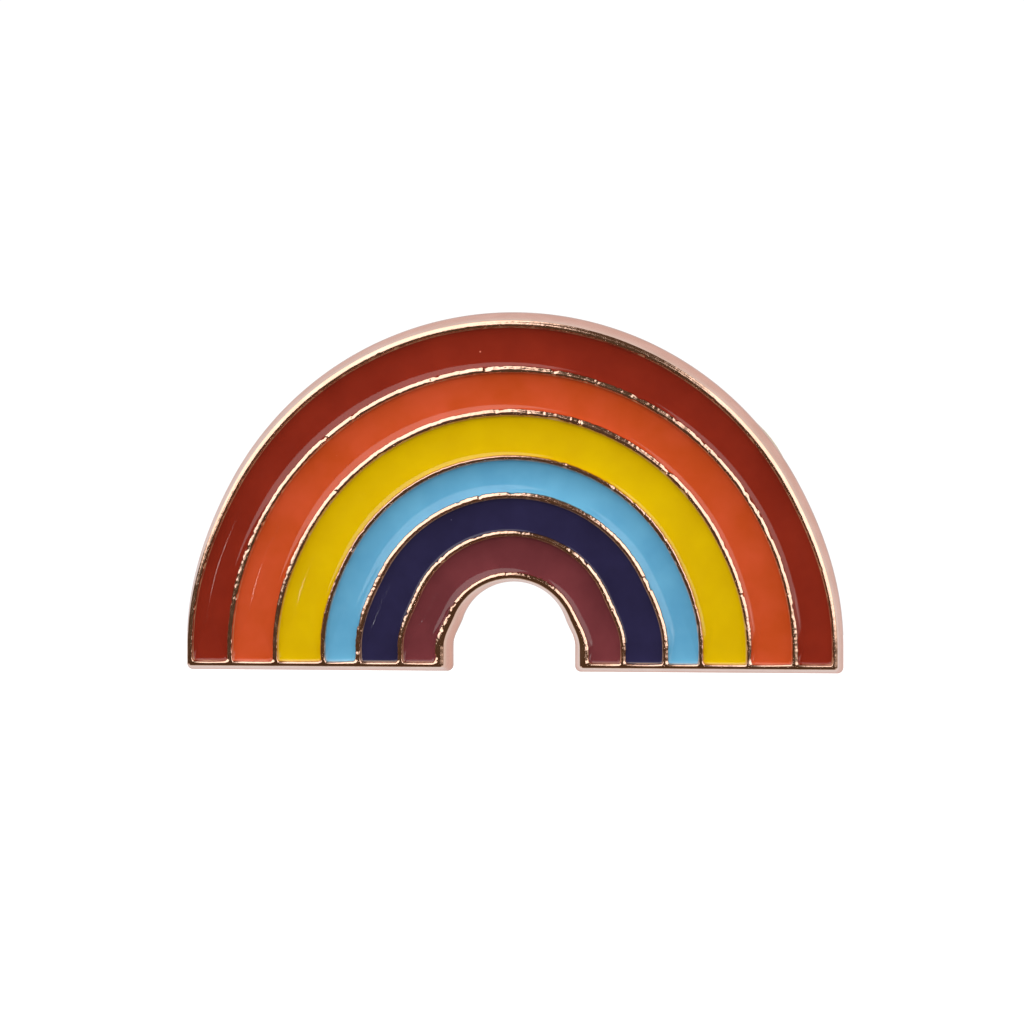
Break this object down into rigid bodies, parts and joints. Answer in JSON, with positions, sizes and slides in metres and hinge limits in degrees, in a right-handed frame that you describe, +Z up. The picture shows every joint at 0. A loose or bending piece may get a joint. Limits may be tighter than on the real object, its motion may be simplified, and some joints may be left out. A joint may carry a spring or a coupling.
{
  "type": "enamel pin",
  "caption": "Rainbow-shaped soft-enamel pin with raised metal lines between coloured bands, worn on two posts with butterfly clutches.",
  "frame": {"origin": "on the flat back face, midway between the two posts", "axes": "+Z up to the top of the arch, +X along its width, -Y out of the enamelled face, +Y along the posts"},
  "size_m": [0.03, 0.01, 0.0163],
  "materials": {
    "rose_gold_plate": "bright plated",
    "plated_post": "plated",
    "braze": "matte",
    "clutch_brass": "satin",
    "spring_steel": "satin",
    "enamel_red": "gloss",
    "enamel_orange": "gloss",
    "enamel_yellow": "gloss",
    "enamel_light_blue": "gloss",
    "enamel_navy": "gloss",
    "enamel_plum": "gloss"
  },
  "bodies": {
    "badge": {"badge_plate": "rose_gold_plate", "enamel_red": "enamel_red", "enamel_orange": "enamel_orange", "enamel_yellow": "enamel_yellow", "enamel_light_blue": "enamel_light_blue", "enamel_navy": "enamel_navy", "enamel_plum": "enamel_plum", "left_post": "plated_post", "left_post_braze": "braze", "right_post": "plated_post", "right_post_braze": "braze"},
    "left_clutch": {"left_clutch_cap": "clutch_brass"},
    "left_clip": {"left_clutch_clip_plate": "clutch_brass", "left_clutch_spring": "spring_steel"},
    "left_wing_a": {"left_clutch_wing_a": "clutch_brass"},
    "left_wing_b": {"left_clutch_wing_b": "clutch_brass"},
    "right_clutch": {"right_clutch_cap": "clutch_brass"},
    "right_clip": {"right_clutch_clip_plate": "clutch_brass", "right_clutch_spring": "spring_steel"},
    "right_wing_a": {"right_clutch_wing_a": "clutch_brass"},
    "right_wing_b": {"right_clutch_wing_b": "clutch_brass"}
  },
  "joints": [
    {"name": "left_clutch_slide", "type": "slide", "parent": "badge", "child": "left_clutch", "axis": [0, 1, 0], "range_m": [-0.0022, 0.012]},
    {"name": "left_clip_spin", "type": "hinge", "parent": "left_clutch", "child": "left_clip", "pos_m": [-0.00705, 0.0025, 0], "axis": [0, 1, 0], "continuous": true},
    {"name": "left_wing_a_pinch", "type": "hinge", "parent": "left_clip", "child": "left_wing_a", "pos_m": [-0.0064, 0.00395, 0.00146], "axis": [-0.9135, 0, 0.4067], "range_deg": [0, 9], "stiffness_Nm_per_rad": 0.0002},
    {"name": "left_wing_b_pinch", "type": "hinge", "parent": "left_clip", "child": "left_wing_b", "pos_m": [-0.0077, 0.00395, -0.00146], "axis": [0.9135, 0, -0.4067], "range_deg": [0, 9], "stiffness_Nm_per_rad": 0.0002},
    {"name": "right_clutch_slide", "type": "slide", "parent": "badge", "child": "right_clutch", "axis": [0, 1, 0], "range_m": [-0.0022, 0.012]},
    {"name": "right_clip_spin", "type": "hinge", "parent": "right_clutch", "child": "right_clip", "pos_m": [0.00705, 0.0025, 0], "axis": [0, 1, 0], "continuous": true},
    {"name": "right_wing_a_pinch", "type": "hinge", "parent": "right_clip", "child": "right_wing_a", "pos_m": [0.00606, 0.00395, 0.00126], "axis": [-0.788, 0, -0.6157], "range_deg": [0, 9], "stiffness_Nm_per_rad": 0.0002},
    {"name": "right_wing_b_pinch", "type": "hinge", "parent": "right_clip", "child": "right_wing_b", "pos_m": [0.00804, 0.00395, -0.00126], "axis": [0.788, 0, 0.6157], "range_deg": [0, 9], "stiffness_Nm_per_rad": 0.0002}
  ],
  "couplings": [
    {"joint": "left_wing_b_pinch", "follows": "left_wing_a_pinch", "ratio": 1},
    {"joint": "right_wing_b_pinch", "follows": "right_wing_a_pinch", "ratio": 1}
  ]
}
